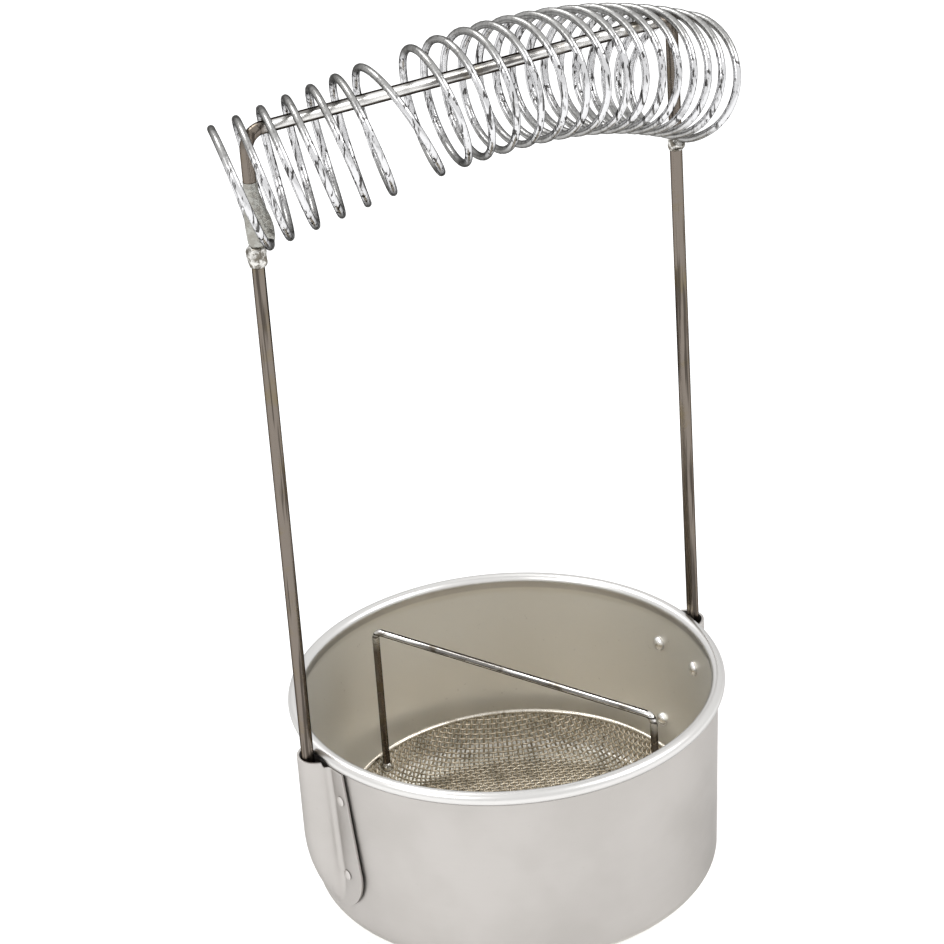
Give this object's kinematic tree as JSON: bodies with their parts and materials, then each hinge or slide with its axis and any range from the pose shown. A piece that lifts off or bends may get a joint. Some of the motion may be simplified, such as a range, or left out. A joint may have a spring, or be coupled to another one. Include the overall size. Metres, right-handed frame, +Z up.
{
  "type": "brush washer",
  "caption": "Round metal brush washer with a lift-out wire holder, a coil that grips brush handles over the cup, and a lift-out mesh strainer.",
  "frame": {"origin": "centre of the cup's flat base, on the surface that it stands on", "axes": "+Z up, +X from the left leg of the wire holder to the right leg, +Y away from the front side of the coil"},
  "size_m": [0.1102, 0.09, 0.1827],
  "materials": {
    "cup": "spun satin",
    "left_socket": "pressed satin",
    "right_socket": "pressed satin",
    "left_rivets": "bright heads",
    "right_rivets": "bright heads",
    "holder_frame": "bright plated rod",
    "coil_spring": "bright plated wire",
    "left_solder_collar": "lumpy bright solder",
    "right_solder_collar": "lumpy bright solder",
    "strainer_mesh": "woven wire cloth",
    "strainer_rim": "dull hem wire",
    "strainer_handle": "bright plated wire",
    "strainer_solder_joints": "bright solder"
  },
  "bodies": {
    "cup": {"cup": "cup", "left_socket": "left_socket", "right_socket": "right_socket", "left_rivets": "left_rivets", "right_rivets": "right_rivets"},
    "holder": {"holder_frame": "holder_frame", "coil_spring": "coil_spring", "left_solder_collar": "left_solder_collar", "right_solder_collar": "right_solder_collar"},
    "strainer": {"strainer_mesh": "strainer_mesh", "strainer_rim": "strainer_rim", "strainer_handle": "strainer_handle", "strainer_solder_joints": "strainer_solder_joints"}
  },
  "joints": [
    {"name": "holder_lift", "type": "slide", "parent": "cup", "child": "holder", "axis": [0, 0, 1], "range_m": [0, 0.03]},
    {"name": "strainer_lift", "type": "slide", "parent": "cup", "child": "strainer", "axis": [0, 0, 1], "range_m": [0, 0.055]}
  ]
}
